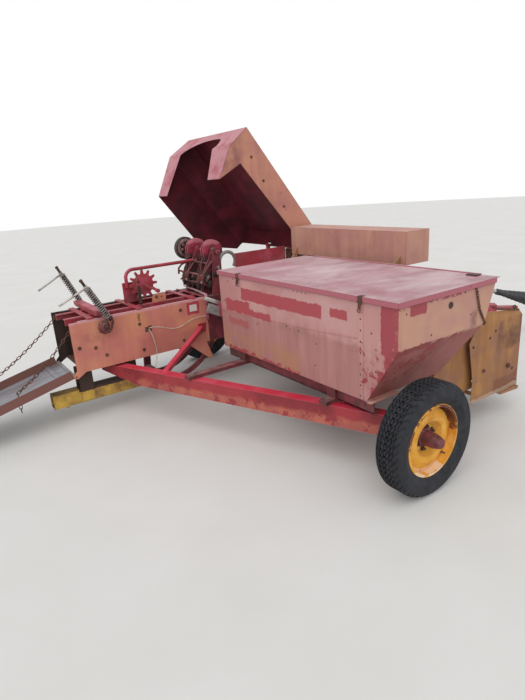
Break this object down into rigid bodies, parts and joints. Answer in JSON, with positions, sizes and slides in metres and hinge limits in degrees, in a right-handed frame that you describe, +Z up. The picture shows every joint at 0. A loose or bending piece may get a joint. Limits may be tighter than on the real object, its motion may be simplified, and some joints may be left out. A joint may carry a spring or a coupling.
{
  "type": "square baler",
  "caption": "Towed square baler with an open knotter hood, offset twine box, side pickup, bale chamber, chute and a swung drawbar on its jack.",
  "frame": {"origin": "middle of the whole outline seen from above, on the ground that the wheels and the jack stand on", "axes": "+X forward along the bale chamber, +Y to the left, +Z up"},
  "size_m": [5.0702, 3.0645, 1.9582],
  "materials": {
    "salmon_sheet": "faded salmon-red paint, matt, worn and dusty",
    "crimson_steel": "bright crimson paint with rust streaks, satin",
    "dark_red_steel": "dark, greasy and weathered red paint",
    "black_steel": "black weathered steel sheet",
    "rusty_steel": "brown rusty steel, rough",
    "rusty_sheet": "ochre to brown rusty sheet, rough",
    "grey_sheet": "bluish grey bare sheet, dull",
    "bare_steel": "pale bare steel, dull",
    "yellow_paint": "yellow paint, dusty, with rust at the edges",
    "tyre_rubber": "black tyre rubber, dusty, worn",
    "white_twine": "white baler twine, dusty",
    "black_plastic": "black plastic guard, dull"
  },
  "bodies": {
    "frame": {"chamber_right": "salmon_sheet", "chamber_left": "black_steel", "chamber_floor": "rusty_steel", "top_rails": "crimson_steel", "plunger_case": "dark_red_steel", "case_mounts": "crimson_steel", "axle_beam": "crimson_steel", "left_stub_axle": "crimson_steel", "rear_hitch_tube": "yellow_paint", "density_gear": "crimson_steel", "density_screws": "bare_steel", "trip_tube": "crimson_steel", "knotter_frames": "dark_red_steel", "knotter_guard": "crimson_steel", "twine_box": "salmon_sheet", "feeder_platform": "dark_red_steel", "feeder_walls": "dark_red_steel", "box_supports": "dark_red_steel", "feeder_housing": "salmon_sheet", "feeder_slides": "dark_red_steel", "gearbox": "rusty_steel", "chute_chains": "rusty_steel", "drawbar_carrier": "crimson_steel", "twine_forward": "white_twine", "twine_down": "white_twine"},
    "wheel_right": {"wheel_right_tyre": "tyre_rubber", "wheel_right_rim": "yellow_paint"},
    "wheel_left": {"wheel_left_tyre": "tyre_rubber", "wheel_left_rim": "yellow_paint"},
    "box_lid": {"box_lid": "salmon_sheet"},
    "hood": {"hood": "salmon_sheet"},
    "bale_chute": {"bale_chute": "grey_sheet"},
    "needle_yoke": {"needle_yoke": "dark_red_steel"},
    "star_wheel": {"star_wheel": "crimson_steel"},
    "knotter_shaft": {"knotter_shaft": "crimson_steel"},
    "flywheel": {"flywheel": "black_steel"},
    "drawbar": {"drawbar": "crimson_steel", "shaft_guard": "black_plastic"},
    "drive_shaft": {"drive_shaft": "bare_steel"},
    "jack_leg": {"jack_leg": "crimson_steel"},
    "pickup": {"pickup_frame": "rusty_sheet", "stripper_bands": "rusty_sheet"},
    "pickup_reel": {"pickup_reel": "rusty_steel"},
    "feeder_forks": {"feeder_forks": "rusty_steel"},
    "plunger": {"plunger": "rusty_steel"}
  },
  "joints": [
    {"name": "wheel_right_spin", "type": "hinge", "parent": "frame", "child": "wheel_right", "pos_m": [-0.47935, -1.43575, 0.298], "axis": [0, 1, 0], "continuous": true},
    {"name": "wheel_left_spin", "type": "hinge", "parent": "frame", "child": "wheel_left", "pos_m": [-0.21735, 1.33225, 0.298], "axis": [0, 1, 0], "continuous": true},
    {"name": "box_lid_hinge", "type": "hinge", "parent": "frame", "child": "box_lid", "pos_m": [0.15066, -0.60275, 1.004], "axis": [0, 1, 0], "range_deg": [0, 88]},
    {"name": "hood_hinge", "type": "hinge", "parent": "frame", "child": "hood", "pos_m": [0.44266, 1.06225, 1], "axis": [0, 1, 0], "range_deg": [-48, 5]},
    {"name": "chute_hinge", "type": "hinge", "parent": "frame", "child": "bale_chute", "pos_m": [-1.59935, 0.83225, 0.363], "axis": [0, 1, 0], "range_deg": [0, 88], "deforming": ["chute_chains"]},
    {"name": "needle_swing", "type": "hinge", "parent": "frame", "child": "needle_yoke", "pos_m": [-0.85735, 1.10225, 0.57], "axis": [0, -1, 0], "range_deg": [0, 62]},
    {"name": "star_wheel_spin", "type": "hinge", "parent": "frame", "child": "star_wheel", "pos_m": [-0.93634, 0.82625, 0.881], "axis": [0, 1, 0], "continuous": true},
    {"name": "knotter_shaft_spin", "type": "hinge", "parent": "frame", "child": "knotter_shaft", "pos_m": [-0.40735, 0.83225, 1.075], "axis": [0, 1, 0], "continuous": true},
    {"name": "flywheel_spin", "type": "hinge", "parent": "frame", "child": "flywheel", "pos_m": [1.04266, 0.83225, 0.8], "axis": [1, 0, 0], "continuous": true},
    {"name": "drawbar_swing", "type": "hinge", "parent": "frame", "child": "drawbar", "pos_m": [1.19266, 0.83225, 0.262], "axis": [0, 0, 1], "range_deg": [-2, 50]},
    {"name": "drive_shaft_spin", "type": "hinge", "parent": "drawbar", "child": "drive_shaft", "pos_m": [1.19266, 0.83225, 0.8], "axis": [0.6719, -0.6958, -0.2538], "continuous": true},
    {"name": "jack_fold", "type": "hinge", "parent": "drawbar", "child": "jack_leg", "pos_m": [2.01235, -0.01657, 0.262], "axis": [0.7193, 0.6947, 0], "range_deg": [0, 90]},
    {"name": "pickup_lift", "type": "hinge", "parent": "frame", "child": "pickup", "pos_m": [0.36266, -0.50775, 0.368], "axis": [0, -1, 0], "range_deg": [-3, 12]},
    {"name": "pickup_reel_spin", "type": "hinge", "parent": "pickup", "child": "pickup_reel", "pos_m": [0.63265, -0.51275, 0.335], "axis": [0, 1, 0], "continuous": true},
    {"name": "feeder_stroke", "type": "slide", "parent": "frame", "child": "feeder_forks", "axis": [0, 1, 0], "range_m": [-0.18, 0.23]},
    {"name": "plunger_stroke", "type": "slide", "parent": "frame", "child": "plunger", "axis": [1, 0, 0], "range_m": [-0.4, 0.4]}
  ]
}
